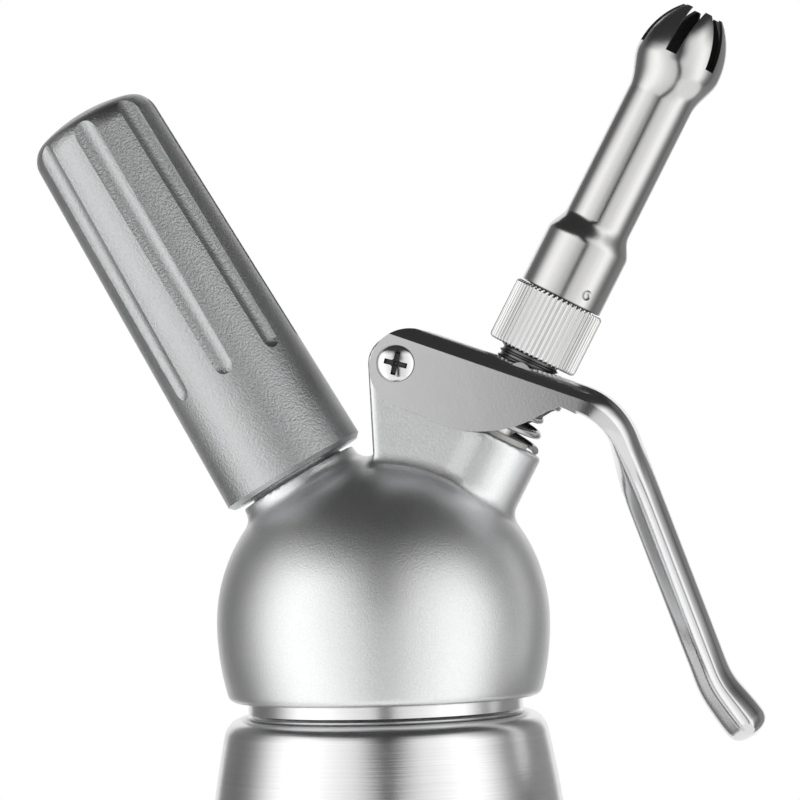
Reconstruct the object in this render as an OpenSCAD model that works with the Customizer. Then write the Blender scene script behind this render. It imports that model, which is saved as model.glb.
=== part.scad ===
// Whipped cream dispenser with a screwed head, squeeze lever, tulip nozzle and charger holder.
// Origin: centre of the bottle's flat base. +Z is up, +X points to the lever side. Millimetres.

/* [Bottle] */
// Outer radius of the bottle's straight wall
bottle_r = 38.5; // [34:0.5:47]
// Height from the base to the mouth
bottle_h = 163; // [140:1:200]
// Wall thickness
bottle_wall = 1.6; // [1.2:0.1:2.4]
// Radius of the rounded edge at the base
base_round_r = 4; // [2:0.5:8]
// Height of the long taper below the shoulder
taper_h = 52.8; // [30:0.1:60]
// Radius of the long taper's curve
taper_r = 238; // [180:1:400]
// Radius of the shoulder's rounding
shoulder_r = 5; // [3:0.5:7]
// Radius of the bare neck that shows under the head
neck_r = 28.3; // [26:0.1:30]
// Radius over the neck's thread
neck_thread_r = 29.2; // [28:0.1:31]
// Height of the mouth above the shoulder
neck_h = 22.2; // [20:0.2:28]
// Radius of the mouth
mouth_r = 24.6; // [20:0.1:26]

/* [Head] */
// Radius of the dome
dome_r = 34.4; // [34:0.1:41.2]
// Radius of the curve of the skirt below the dome
skirt_curve_r = 54.6; // [40:0.1:90]
// Height of the skirt below the dome's centre
skirt_h = 15.7; // [13:0.1:19]
// Height of the dome's centre below the bottle's mouth
dome_drop = 3.5; // [2.5:0.1:5]
// Radius of the hollow under the dome
hollow_r = 28; // [24:0.1:28.6]
// Thickness of the head gasket
gasket_t = 2; // [1.5:0.1:3]

/* [Valve neck and lug] */
// Lean of the valve axis to the right
valve_tilt = 28.3; // [24:0.1:33]
// Where the valve axis crosses the dome's centre height
valve_x = 3; // [0:0.1:4]
// Outer radius of the valve neck
valve_neck_r = 11.3; // [11:0.1:13]
// Distance of the neck's top face along the valve axis
neck_top_s = 43.5; // [41:0.1:46]
// Half thickness of the lug that carries the lever
lug_half = 11; // [9:0.1:11.2]
// Radius of the lug round the pivot
lug_r = 6; // [5:0.1:6.1]
// How far the lug's foot spreads to the left
lug_flare = 1.1; // [0:0.1:2]
// Radius of the flow bore in the valve neck
flow_bore_r = 6.2; // [5.5:0.1:6.8]
// Where the valve seat lies along the valve axis
seat_s = 26; // [24:0.1:27]

/* [Pivot] */
// Distance of the pivot to the left of the valve axis
pivot_w = 23.3; // [22:0.1:27]
// Distance of the pivot along the valve axis
pivot_s = 47.8; // [46:0.1:49]
// Radius of the pivot barrel
barrel_r = 3; // [2.5:0.1:3.5]
// Radius of the pivot screw's shank
screw_r = 2; // [1.5:0.1:2.2]
// Radius of the screw head and of the barrel's head
screw_head_r = 3.77; // [3.6:0.01:4.6]

/* [Lever] */
// Slope of the lever's web below level
web_slope = 20.6; // [18:0.1:23]
// Height of the web's top above the pivot, square to the web
web_top = 8.3; // [8.2:0.1:10]
// Thickness of the web
web_t = 2; // [1.6:0.1:2.1]
// Thickness of each cheek
cheek_t = 2; // [1.5:0.1:3]
// Radius of the rounded edge between web and cheeks
channel_edge_r = 3; // [1:0.1:3.5]
// Centre-line radius of the bend from web to handle
bend_r = 14; // [11:0.5:18]
// Lean of the straight handle off the vertical
handle_lean = 19.5; // [14:0.1:24]
// Length of the straight handle
handle_l = 50.1; // [40:0.1:60]
// Thickness of the handle
handle_t = 7.5; // [6:0.1:9]
// Width of the handle at its middle
handle_w = 11.8; // [9:0.1:15]
// Width of the spoon-like tip
tip_w = 15; // [12:0.1:18]
// Outward turn of the tip
tip_turn = 17; // [10:1:30]

/* [Valve] */
// Radius of the valve stem
stem_r = 4; // [3.5:0.1:4.4]
// Radius of the cream passage in the stem
stem_bore_r = 2.2; // [1.6:0.1:2.6]
// Radius of the spring plate
plate_r = 10.4; // [9.8:0.1:10.8]
// Thickness of the spring plate
plate_t = 1.45; // [1:0.05:2]
// Radius of the threaded stud above the plate
stud_r = 6.5; // [5.5:0.1:6.8]
// Length of the threaded stud above the plate
stud_l = 13.6; // [11:0.1:16]

/* [Spring] */
// Wire diameter
wire_d = 1.6; // [1:0.1:1.8]
// Mean radius of the curls
spring_r = 9.4; // [9.2:0.1:9.6]
// Number of curls
spring_turns = 2.75; // [2:0.25:3.25]

/* [Adapter and nozzle] */
// Radius over the adapter's knurl
knurl_r = 9.7; // [9:0.1:11]
// Depth of the knurl's grooves
knurl_depth = 0.45; // [0.2:0.05:0.7]
// Number of grooves round the adapter
knurl_count = 48; // [24:4:60]
// Height of the knurled ring
knurl_h = 13.3; // [10:0.1:16]
// Radius of the adapter's threaded spigot
spigot_r = 6; // [5:0.1:6.4]
// Length of the spigot
spigot_l = 10.5; // [8:0.1:13]
// Radius of the nozzle's base
nozzle_base_r = 8.9; // [8.6:0.05:9.3]
// Length of the nozzle's base below its shoulder
nozzle_base_l = 13.1; // [11.6:0.1:18]
// Radius of the nozzle's tube
nozzle_tube_r = 7.05; // [6.9:0.05:7.8]
// Length of the tube between shoulder and bulb
nozzle_tube_l = 28.4; // [12:0.1:40]
// Largest radius of the tulip
tulip_r = 9.15; // [8:0.05:10]
// Radius of the tulip's open tip
tulip_tip_r = 4.5; // [3.5:0.1:5.5]
// Length of the closing part of the tulip
tulip_l = 11.6; // [10:0.1:18]
// Wall thickness of the nozzle
nozzle_wall = 0.85; // [0.6:0.05:1]
// Number of teeth
teeth = 6; // [5:1:8]
// Width of the slots between the teeth
tooth_gap = 2.3; // [1.5:0.1:2.8]
// Depth of the slots from the tip
tooth_l = 10.6; // [6:0.1:12]

/* [Charger and holder] */
// Lean of the charger axis to the left
charger_tilt = 29.2; // [25:0.1:33]
// Radius of the boss on the dome
boss_r = 13; // [12.5:0.1:14]
// Distance of the boss's top from the dome's centre
boss_top_s = 34.6; // [34:0.1:37]
// Radius over the thread of the stub
stub_r = 11; // [10.6:0.1:11.6]
// Length of the stub above the boss
stub_l = 16.4; // [14:0.1:18]
// Radius of the well in the stub
well_r = 5.2; // [4.8:0.1:6]
// Radius of the gas charger
charger_r = 9; // [8.8:0.1:9.3]
// Length of the gas charger
charger_l = 65.9; // [60:0.1:68]
// Radius of the charger's neck
charger_neck_r = 4.4; // [4:0.1:4.6]
// Radius of the holder at its open rim
holder_rim_r = 15.6; // [14.6:0.1:16.5]
// Radius of the holder at its closed end
holder_end_r = 13.95; // [12.8:0.05:15]
// Thickness of the holder's closed end at its middle
holder_end_t = 12; // [8:0.1:14]
// Number of flutes
flutes = 8; // [6:1:12]
// Radius of the flutes' hollow
flute_r = 3.2; // [2.6:0.1:3.6]
// Depth of a flute at its lower end
flute_depth = 0.75; // [0.4:0.05:1.2]
// Extra depth of a flute at the closed end
flute_fall = 0.6; // [0:0.05:0.9]
// Distance from the holder's rim to the lower end of the flutes
flute_start = 24.2; // [12:0.1:40]

/* [Fits] */
// Radial clearance of a turning or sliding fit
run_gap = 0.06; // [0.03:0.01:0.09]
// Radial clearance of a fixed fit
seat_gap = 0.03; // [0.01:0.01:0.05]
// Gap between faces that only meet
face_gap = 0.05; // [0.03:0.01:0.1]
// Gap beside the lug on each side
cheek_gap = 0.6; // [0.5:0.05:0.9]

/* [Hidden] */
$fn = 96;

// Heights of the bottle and the head
shoulder_z = bottle_h - neck_h;
dome_z = bottle_h - dome_drop;
rim_z = dome_z - skirt_h;
gasket_seat_z = bottle_h + gasket_t + 2 * face_gap;
head_thread_r = neck_thread_r + run_gap;

// The pivot in the object's frame
pivot_x = valve_x - pivot_w * cos(valve_tilt) + pivot_s * sin(valve_tilt);
pivot_z = dome_z + pivot_w * sin(valve_tilt) + pivot_s * cos(valve_tilt);

// The lever: half widths, and the web measured from the pivot
side_gap = 0.3;
cheek_in = max(lug_half + cheek_gap, valve_neck_r + side_gap, plate_r + side_gap);
cheek_out = cheek_in + cheek_t;
web_rise = valve_tilt - web_slope;
web_low = web_top - web_t;
web_low_s = pivot_s + pivot_w * tan(web_rise) + web_low / cos(web_rise);
web_top_s = web_low_s + web_t / cos(web_rise);
pad_r = 2.2;
plate_top_s = web_low_s - pad_r - face_gap;
plate_low_s = plate_top_s - plate_t;
stud_top_s = plate_top_s + stud_l;
slot_half = stud_r + 0.7;

// The adapter and the nozzle
knurl_low_s = web_top_s + knurl_r * tan(web_rise) + 0.75;
knurl_top_s = knurl_low_s + knurl_h;
nozzle_low_s = knurl_top_s + 0.2;
nozzle_base_top_s = nozzle_low_s + nozzle_base_l;
tube_low_s = nozzle_base_top_s + 4;
tube_top_s = tube_low_s + nozzle_tube_l;
tulip_s = tube_top_s + 8.2;
tip_s = tulip_s + tulip_l;

// The charger, its seat and its holder
stub_top_s = boss_top_s + stub_l;
pin_floor_s = boss_top_s + 1.4;
pin_top_s = pin_floor_s + 5;
pin_gasket_t = 3;
charger_low_s = pin_top_s + pin_gasket_t + 2 * face_gap;
charger_tail_s = charger_low_s + charger_l;
holder_rim_s = boss_top_s + 1;
holder_top_s = charger_tail_s + 0.6 + holder_end_t;
holder_edge_r = 5;
holder_crown = 1.4;
holder_shoulder_s = holder_top_s - holder_edge_r - holder_crown;
holder_draft = (holder_rim_r - holder_end_r) / (holder_shoulder_s - holder_rim_s);

// Points along an arc, from angle a0 to angle a1 in n steps
function arc(cx, cy, r, a0, a1, n) =
    [for (i = [0:n]) let (a = a0 + (a1 - a0) * i / n) [cx + r * cos(a), cy + r * sin(a)]];

// A smooth step from 0 to 1
function ease(t) = let (u = max(0, min(1, t))) u * u * (3 - 2 * u);

module on_valve(s = 0) {
    translate([valve_x, 0, dome_z]) rotate([0, valve_tilt, 0]) translate([0, 0, s]) children();
}

module on_charger(s = 0) {
    translate([0, 0, dome_z]) rotate([0, -charger_tilt, 0]) translate([0, 0, s]) children();
}

// Children drawn in the side view, x to the right and y up, drawn out to both sides of the middle
module side_plate(half) {
    rotate([90, 0, 0]) linear_extrude(2 * half, center = true) children();
}

module ring(r_in, r_out, h) {
    difference() {
        cylinder(r = r_out, h = h);
        translate([0, 0, -1]) cylinder(r = r_in, h = h + 2);
    }
}

module turned(points) {
    rotate_extrude() polygon(points);
}

module cord_ring(mid_r, cord_r) {
    rotate_extrude() translate([mid_r, 0]) circle(r = cord_r, $fn = 32);
}

// ---- Bottle ----

// The wall's outline from the base up to the shoulder, drawn in by a skin
function wall_line(skin) =
    let (
        edge_r = max(base_round_r - skin, 0.6),
        top_x = bottle_r - taper_r,
        taper_z = shoulder_z - taper_h,
        lift = taper_h - shoulder_r,
        round_x = top_x + sqrt(pow(taper_r - shoulder_r, 2) - lift * lift),
        lean = atan2(lift, round_x - top_x)
    )
    concat(
        arc(bottle_r - skin - edge_r, skin + edge_r, edge_r, -90, 0, 6),
        arc(top_x, taper_z, taper_r - skin, 0, lean, 10),
        arc(round_x, shoulder_z - shoulder_r, shoulder_r - skin, lean + 8, 90, 8)
    );

module bottle() {
    thread_low_z = shoulder_z + 5;
    color("gainsboro")
    difference() {
        turned(concat(
            [[0, 0]],
            wall_line(0),
            [[neck_r, shoulder_z], [neck_r, thread_low_z - 0.9], [neck_thread_r, thread_low_z],
             [neck_thread_r, bottle_h - 1.2], [neck_thread_r - 1, bottle_h], [0, bottle_h]]
        ));
        turned(concat(
            [[0, bottle_wall]],
            wall_line(bottle_wall),
            [[neck_r, shoulder_z - bottle_wall], [mouth_r, shoulder_z - bottle_wall + neck_r - mouth_r],
             [mouth_r, bottle_h + 1], [0, bottle_h + 1]]
        ));
    }
}

module head_gasket() {
    color("dimgray")
    translate([0, 0, bottle_h + face_gap]) ring(mouth_r - 0.2, head_thread_r - 0.3, gasket_t);
}

// ---- Head ----

module dome_shell() {
    corner_r = 1.5;
    skirt_x = dome_r - skirt_curve_r;
    skirt_end = asin((skirt_h - corner_r) / skirt_curve_r);
    rim_r = skirt_x + skirt_curve_r * cos(skirt_end) - corner_r;
    difference() {
        translate([0, 0, dome_z]) sphere(r = dome_r);
        translate([0, 0, dome_z - 2 * dome_r]) cylinder(r = 2 * dome_r, h = 2 * dome_r);
    }
    translate([0, 0, dome_z])
    turned(concat(
        [[0, 0], [0, -skirt_h]],
        arc(rim_r, corner_r - skirt_h, corner_r, -90, -skirt_end, 5),
        arc(skirt_x, 0, skirt_curve_r, -skirt_end, 0, 6)
    ));
}

// The flat-sided lug between the neck and the pivot, with the neck's own top as its right end
module lug() {
    intersection() {
        side_plate(lug_half)
        polygon(concat(
            [[pivot_x - lug_r - lug_flare, dome_z + 16]],
            arc(pivot_x, pivot_z, lug_r, 180, 38, 12),
            [neck_point(-12.5, neck_top_s), neck_point(0, neck_top_s), neck_point(0, 20)]
        ));
        translate([0, 0, dome_z + 16]) cylinder(r = 60, h = 60);
    }
}

// A point of the side view, given across and along the valve axis
function neck_point(w, s) = [
    valve_x + w * cos(valve_tilt) + s * sin(valve_tilt),
    dome_z - w * sin(valve_tilt) + s * cos(valve_tilt)
];

// Cast fillet where the charger boss meets the dome
module boss_foot(r) {
    ring_r = boss_r + r;
    meet_s = sqrt(pow(dome_r + r, 2) - ring_r * ring_r);
    lean = atan2(ring_r, meet_s);
    turned(concat(
        [[0, meet_s - 8], [0, meet_s]],
        arc(ring_r, meet_s, r, 180, 270 - lean, 6),
        [[ring_r * 0.8, meet_s - 8]]
    ));
}

module head() {
    color("silver")
    difference() {
        union() {
            difference() {
                union() {
                    dome_shell();
                    on_charger() boss_foot(1.8);
                    on_charger(20) cylinder(r = boss_r, h = boss_top_s - 20);
                    on_valve(20) cylinder(r = valve_neck_r, h = neck_top_s - 20);
                    lug();
                }
                translate([0, 0, rim_z - 1]) cylinder(r = head_thread_r, h = gasket_seat_z - rim_z + 1);
                intersection() {
                    translate([0, 0, dome_z]) sphere(r = hollow_r);
                    cylinder(r = mouth_r, h = dome_z + dome_r);
                }
            }
            on_valve(seat_s) cylinder(r = 9.5, h = 6);
            on_charger(hollow_r - 5) cylinder(r = 7.5, h = 8);
            on_charger(boss_top_s - 2) cylinder(r = stub_r - 0.8, h = 9);
            on_charger(boss_top_s + 6.4) cylinder(r = stub_r, h = stub_l - 7.2);
            on_charger(stub_top_s - 0.8) cylinder(r1 = stub_r, r2 = stub_r - 0.8, h = 0.8);
        }
        on_valve(10) cylinder(r = flow_bore_r, h = neck_top_s);
        on_valve(seat_s - 12) cylinder(r = 9.6, h = 12);
        on_valve(neck_top_s - 6.5) cylinder(r = 7 + seat_gap, h = 20);
        on_charger(hollow_r - 8) cylinder(r = 1.5, h = 20);
        on_charger(pin_floor_s) cylinder(r = 4.8 + seat_gap, h = 6);
        on_charger(pin_top_s) cylinder(r = well_r, h = 20);
        translate([pivot_x, 0, pivot_z]) rotate([90, 0, 0])
            cylinder(r = barrel_r + run_gap, h = 4 * lug_half, center = true);
    }
}

// ---- Pivot ----

// Children with z along the pivot, pointing at the viewer's side
module on_pivot(y = 0) {
    translate([pivot_x, -y, pivot_z]) rotate([90, 0, 0]) children();
}

head_floor = cheek_out - 0.6;
screw_head_h = 1.5;

module pivot_screw() {
    color("whitesmoke")
    difference() {
        union() {
            on_pivot(head_floor + face_gap) cylinder(r = screw_head_r, h = screw_head_h - 0.5);
            on_pivot(head_floor + face_gap + screw_head_h - 0.5)
                cylinder(r1 = screw_head_r, r2 = screw_head_r - 0.7, h = 0.5);
            on_pivot(-6) cylinder(r = screw_r, h = head_floor + 6.5);
        }
        for (a = [-15, 75])
            on_pivot(head_floor + 0.7) rotate([0, 0, a])
                translate([-2, -0.45, 0]) cube([4, 0.9, 3]);
    }
}

module pivot_barrel() {
    color("lightgray")
    difference() {
        union() {
            on_pivot(-head_floor) cylinder(r = barrel_r, h = 2 * head_floor);
            on_pivot(-head_floor - face_gap - screw_head_h) cylinder(r = screw_head_r, h = screw_head_h);
            on_pivot(-head_floor - 0.5) cylinder(r = barrel_r, h = 1);
        }
        on_pivot(-7) cylinder(r = screw_r + seat_gap, h = head_floor + 8);
    }
}

module pivot_washers() {
    washer_t = cheek_in - lug_half - 2 * face_gap;
    color("white")
    for (side = [-1, 1])
        on_pivot((side * (lug_half + cheek_in) - washer_t) / 2) ring(barrel_r + run_gap, 5.2, washer_t);
}

// ---- Lever ----

// Centre line of the handle: [x, z, heading] at a share t of its length
bend_turn = 90 - handle_lean - web_slope;
bend_l = bend_r * bend_turn * PI / 180;
tip_r = 20;
tip_bend_l = tip_r * tip_turn * PI / 180;
tip_l = 9.7;
handle_total = bend_l + handle_l + tip_bend_l + tip_l;
root_s = 38;
root_rise = 4.35;
root_x = pivot_x + root_s * cos(web_slope) + root_rise * sin(web_slope);
root_z = pivot_z - root_s * sin(web_slope) + root_rise * cos(web_slope);

function bend_point(d) = let (h = -web_slope - d / bend_r * 180 / PI) [
    root_x + bend_r * (sin(h) + sin(web_slope)) * -1,
    root_z + bend_r * (cos(h) - cos(web_slope)),
    h
];
function straight_point(d) = let (p = bend_point(bend_l)) [
    p[0] + d * cos(p[2]), p[1] + d * sin(p[2]), p[2]
];
function tip_point(d) = let (p = straight_point(handle_l), h = p[2] + d / tip_r * 180 / PI) [
    p[0] + tip_r * (sin(h) - sin(p[2])), p[1] + tip_r * (cos(p[2]) - cos(h)), h
];
function end_point(d) = let (p = tip_point(tip_bend_l)) [
    p[0] + d * cos(p[2]), p[1] + d * sin(p[2]), p[2]
];
function handle_point(d) =
    d < 0 ? let (rise = ease(-d / 4)) [
        root_x + d * cos(web_slope) + rise * sin(web_slope),
        root_z - d * sin(web_slope) + rise * cos(web_slope),
        -web_slope]
    : d < bend_l ? bend_point(d)
    : d < bend_l + handle_l ? straight_point(d - bend_l)
    : d < bend_l + handle_l + tip_bend_l ? tip_point(d - bend_l - handle_l)
    : end_point(d - bend_l - handle_l - tip_bend_l);

// Half width and half thickness of the handle at a distance d along it
function handle_half_w(d) =
    let (wide = cheek_out - 0.1, mid = handle_w / 2, far = handle_total - 9)
    (wide + (mid - wide) * ease((d + 1) / 19) + (tip_w / 2 - mid) * ease((d - far + 16) / 20))
    * end_round(d, 4.5);
function handle_half_t(d) =
    (handle_t / 2 - 0.4 * ease(-d / 4) - 0.4 * ease((18 - d) / 10) + 0.7 * ease((d - handle_total + 18) / 14))
    * end_round(d, 3.6);
function end_round(d, reach) =
    let (u = max(0, (d - handle_total + reach) / reach)) sqrt(max(0.03, 1 - u * u));

// One cross-section: rounded sides, crowned outer face and a flatter inner face
section_sides = 16;
function handle_ring(d) =
    let (p = handle_point(d), hw = handle_half_w(d), ht = handle_half_t(d))
    [for (k = [0:section_sides - 1])
        let (
            a = 360 * (k + 0.5) / section_sides,
            y = hw * sign(cos(a)) * pow(abs(cos(a)), 0.62),
            n = ht * sign(sin(a)) * pow(abs(sin(a)), 0.72)
        )
        [p[0] - n * sin(p[2]), y, p[1] + n * cos(p[2])]];

handle_stations = concat(
    [for (d = [-4:4:20]) d],
    [for (i = [1:4]) bend_l + handle_l * i / 4 - 0.2],
    [for (i = [1:6]) bend_l + handle_l + (tip_bend_l + tip_l) * (1 - pow(1 - i / 6, 1.6))]
);

module handle_loft() {
    rings = len(handle_stations);
    n = section_sides;
    points = [for (d = handle_stations) each handle_ring(d)];
    sides = [for (i = [0:rings - 2], k = [0:n - 1]) each [
        [i * n + k, (i + 1) * n + (k + 1) % n, i * n + (k + 1) % n],
        [i * n + k, (i + 1) * n + k, (i + 1) * n + (k + 1) % n]
    ]];
    caps = [[for (k = [0:n - 1]) k], [for (k = [n - 1:-1:0]) (rings - 1) * n + k]];
    polyhedron(points, concat(sides, caps));
}

// Outline of a cheek in the side view, drawn from the pivot
module cheek_outline() {
    dir = [cos(web_slope), -sin(web_slope)];
    up = [sin(web_slope), cos(web_slope)];
    end_r = web_top - 0.1;
    translate([pivot_x, pivot_z])
    polygon(concat(
        arc(2.75, -1.05, end_r, 248, 76, 14),
        [up * web_top + dir * 4, up * web_top + dir * (root_s - 2.5)],
        [up * 2.2 + dir * root_s, up * 2.6 + dir * (root_s - 3.5)],
        arc(17.5, 9.5, 23.85, -58, -122, 10)
    ));
}

// Cross-section of the channel, x across and y square to the web
module channel_section(half, top, edge_r) {
    polygon(concat(
        [[-half, -40], [half, -40]],
        arc(half - edge_r, top - edge_r, edge_r, 0, 90, 5),
        arc(edge_r - half, top - edge_r, edge_r, 90, 180, 5)
    ));
}

// Children drawn in that cross-section, drawn out along the web from a to b
module along_web(a, b) {
    translate([pivot_x, 0, pivot_z]) rotate([0, web_slope, 0]) translate([a, 0, 0])
        rotate([90, 0, 90]) linear_extrude(b - a) children();
}

channel_end = root_s - 1.2;

module lever() {
    color("darkgray")
    difference() {
        union() {
            difference() {
                intersection() {
                    side_plate(cheek_out) cheek_outline();
                    along_web(-20, 60) channel_section(cheek_out, web_top, channel_edge_r);
                }
                along_web(-20, channel_end) channel_section(cheek_in, web_low, 1);
            }
            difference() {
                handle_loft();
                along_web(-20, channel_end) channel_section(cheek_in, web_low, 1);
            }
            for (side = [-1, 1])
                on_valve(web_low_s) rotate([90, 0, 0])
                    translate([0, 0, side * (slot_half + cheek_in + 0.2) / 2])
                    cylinder(r = pad_r, h = cheek_in - slot_half + 0.2, center = true);
        }
        on_valve(web_low_s - 4) linear_extrude(12) {
            translate([-1.4, 0]) circle(r = slot_half);
            translate([0.6, 0]) circle(r = slot_half);
            translate([-1.4, -slot_half]) square([2, 2 * slot_half]);
        }
        on_pivot(-20) cylinder(r = barrel_r + run_gap, h = 40);
        for (side = [-1, 1])
            on_pivot(side > 0 ? head_floor : -head_floor - 5) cylinder(r = screw_head_r + 0.2, h = 5);
    }
}

// ---- Valve ----

module valve_guide() {
    groove_s = neck_top_s - 4;
    color("ivory")
    difference() {
        union() {
            on_valve(neck_top_s - 6.5 + face_gap) cylinder(r = 7, h = 6.5 + 1);
            on_valve(neck_top_s + face_gap) cylinder(r = 7.7, h = 1);
        }
        on_valve(neck_top_s - 8) cylinder(r = stem_r + run_gap, h = 12);
        on_valve(groove_s - 0.95) cylinder(r = stem_r + 1.85, h = 1.9);
    }
}

module guide_oring() {
    color("black") on_valve(neck_top_s - 4) cord_ring(stem_r + run_gap + 0.85, 0.85);
}

module valve_stem() {
    low_s = seat_s - 8;
    top_s = plate_low_s + 6.5;
    color("lightgray")
    difference() {
        on_valve(low_s) cylinder(r = stem_r, h = top_s - low_s);
        on_valve(seat_s + 4) cylinder(r = stem_bore_r, h = 60);
        for (a = [0, 90])
            on_valve(seat_s + 5.5) rotate([0, 0, a]) rotate([90, 0, 0])
                cylinder(r = 1.25, h = 20, center = true, $fn = 32);
    }
}

module valve_seal() {
    color("black")
    on_valve(seat_s - 3.5)
    difference() {
        union() {
            cylinder(r = 8.2, h = 2.2);
            translate([0, 0, 2.2]) cylinder(r1 = 8.2, r2 = 7.2, h = 1.3 - face_gap);
        }
        translate([0, 0, -1]) cylinder(r = stem_r + seat_gap, h = 8);
    }
}

module seal_nut() {
    color("silver")
    on_valve(seat_s - 7.2)
    difference() {
        union() {
            cylinder(r = 6.6, h = 2.6, $fn = 6);
            translate([0, 0, 2.6]) cylinder(r = 7.2, h = 1.1 - face_gap);
        }
        translate([0, 0, -1]) cylinder(r = stem_r + seat_gap, h = 8);
    }
}

module valve_head() {
    color("lightgray")
    difference() {
        union() {
            on_valve() turned([
                [0, plate_low_s], [plate_r - 0.3, plate_low_s], [plate_r, plate_low_s + 0.3],
                [plate_r, plate_top_s - 0.3], [plate_r - 0.3, plate_top_s], [stud_r, plate_top_s],
                [stud_r, stud_top_s - 0.8], [stud_r - 0.8, stud_top_s], [0, stud_top_s]
            ]);
        }
        on_valve(plate_low_s - 1) cylinder(r = stem_r + seat_gap, h = 7.5 + face_gap);
        on_valve(plate_low_s) cylinder(r = stem_bore_r + 0.4, h = 30);
    }
}

// Spring: one helical tube with straight ends a wire's width long
module valve_spring() {
    wire_r = wire_d / 2;
    low_s = neck_top_s + face_gap + wire_r;
    high_s = plate_low_s - face_gap - wire_r;
    steps = ceil(8 * spring_turns);
    sides = 6;
    rise = (high_s - low_s) / spring_turns;
    lean = atan2(rise, 2 * PI * spring_r);
    function turn_at(i) = 360 * spring_turns * i / steps;
    function centre(i) = let (a = turn_at(i)) [
        spring_r * cos(a), spring_r * sin(a), low_s + (high_s - low_s) * i / steps];
    function along(i) = let (a = turn_at(i)) [
        -sin(a) * cos(lean), cos(a) * cos(lean), sin(lean)];
    function flat(i) = let (a = turn_at(i)) [-sin(a), cos(a), 0];
    function wire_ring(c, a) = [for (k = [0:sides - 1])
        let (b = 360 * k / sides)
        c + wire_r * (cos(b) * [cos(a), sin(a), 0]
            + sin(b) * [sin(a) * sin(lean), -cos(a) * sin(lean), cos(lean)])];
    centres = concat(
        [centre(0) - wire_d * flat(0)],
        [for (i = [0:steps]) centre(i)],
        [centre(steps) + wire_d * flat(steps)]
    );
    turns = concat([turn_at(0)], [for (i = [0:steps]) turn_at(i)], [turn_at(steps)]);
    points = [for (j = [0:len(centres) - 1]) each wire_ring(centres[j], turns[j])];
    last = len(centres) - 1;
    faces = concat(
        [[for (k = [sides - 1:-1:0]) k]],
        [for (j = [0:last - 1], k = [0:sides - 1]) each [
            [j * sides + k, j * sides + (k + 1) % sides, (j + 1) * sides + (k + 1) % sides],
            [j * sides + k, (j + 1) * sides + (k + 1) % sides, (j + 1) * sides + k]
        ]],
        [[for (k = [0:sides - 1]) last * sides + k]]
    );
    gap = min([for (i = [0:last], j = [i + 5:1:last]) norm(centres[i] - centres[j])]) - wire_d;
    echo(spring_least_gap = gap);
    color("silver") on_valve() polyhedron(points, faces);
}

// ---- Adapter and nozzle ----

module nozzle_adapter() {
    thread_top_s = stud_top_s + 1.1;
    color("gainsboro")
    difference() {
        union() {
            on_valve(knurl_low_s) linear_extrude(knurl_h)
                polygon([for (i = [0:2 * knurl_count - 1])
                    let (a = 180 * i / knurl_count, r = i % 2 == 0 ? knurl_r : knurl_r - knurl_depth)
                    [r * cos(a), r * sin(a)]]);
            on_valve(knurl_top_s - 1) cylinder(r = spigot_r, h = spigot_l + 0.4);
            on_valve(knurl_top_s + spigot_l - 0.6) cylinder(r1 = spigot_r, r2 = spigot_r - 0.6, h = 0.6);
        }
        on_valve(knurl_low_s - 1) cylinder(r = stud_r + run_gap, h = thread_top_s - knurl_low_s + 1);
        on_valve(stud_top_s) cylinder(r = stem_bore_r + 0.4, h = 40);
    }
}

module adapter_washer() {
    color("black")
    on_valve(stud_top_s + face_gap) ring(stem_bore_r + 0.7, stud_r - 0.1, 1.1 - 2 * face_gap);
}

oring_r = 0.36 * (nozzle_base_r - nozzle_wall - spigot_r);

module nozzle_oring() {
    color("black")
    on_valve(knurl_top_s + 0.8) cord_ring(spigot_r + run_gap + oring_r, oring_r);
}

module nozzle_ferrule() {
    low_s = knurl_top_s + 1.75;
    ferrule_r = nozzle_base_r - nozzle_wall - run_gap;
    groove_d = 0.37 * (ferrule_r - spigot_r - run_gap);
    color("dimgray")
    on_valve(low_s)
    difference() {
        cylinder(r = ferrule_r, h = spigot_l - 1);
        translate([0, 0, -1]) cylinder(r = spigot_r + run_gap, h = 20);
        translate([0, 0, dimple_s - low_s - 1.2]) ring(ferrule_r - groove_d, ferrule_r + 1, 2.4);
    }
}

dimple_s = nozzle_low_s + 2.7;

// Outline of the nozzle's outer face, drawn in by a skin
function nozzle_line(skin) =
    let (ogive_r = (tulip_l * tulip_l + pow(tulip_r - tulip_tip_r, 2)) / (2 * (tulip_r - tulip_tip_r)))
    concat(
        [[nozzle_base_r - skin, nozzle_low_s], [nozzle_base_r - skin, nozzle_base_top_s - 1]],
        [for (i = [1:8]) [
            nozzle_base_r - skin + (nozzle_tube_r - nozzle_base_r) * ease(i / 8),
            nozzle_base_top_s - 1 + 5 * i / 8]],
        [for (i = [0:9]) [
            nozzle_tube_r - skin + (tulip_r - nozzle_tube_r) * ease(i / 9),
            tube_top_s + (tulip_s - tube_top_s) * i / 9]],
        [for (i = [1:8]) let (h = tulip_l * i / 8) [
            tulip_r - skin - ogive_r + sqrt(ogive_r * ogive_r - h * h), tulip_s + h]]
    );

module nozzle() {
    color("lightgray")
    difference() {
        on_valve() turned(concat([[0, nozzle_low_s]], nozzle_line(0), [[0, tip_s]]));
        on_valve() turned(concat(
            [[0, nozzle_low_s - 1], [nozzle_base_r - nozzle_wall, nozzle_low_s - 1]],
            nozzle_line(nozzle_wall),
            [[tulip_tip_r - nozzle_wall, tip_s + 1], [0, tip_s + 1]]
        ));
        on_valve(tip_s - tooth_l)
            for (i = [0:teeth - 1]) rotate([0, 0, 360 * i / teeth - 102.5])
                translate([0, -tooth_gap / 2, 0]) cube([20, tooth_gap, 30]);
        for (i = [0:2])
            on_valve(dimple_s) rotate([0, 0, 120 * i - 56])
                translate([nozzle_base_r + 0.9, 0, 0]) sphere(r = 1.4, $fn = 32);
    }
}

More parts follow.
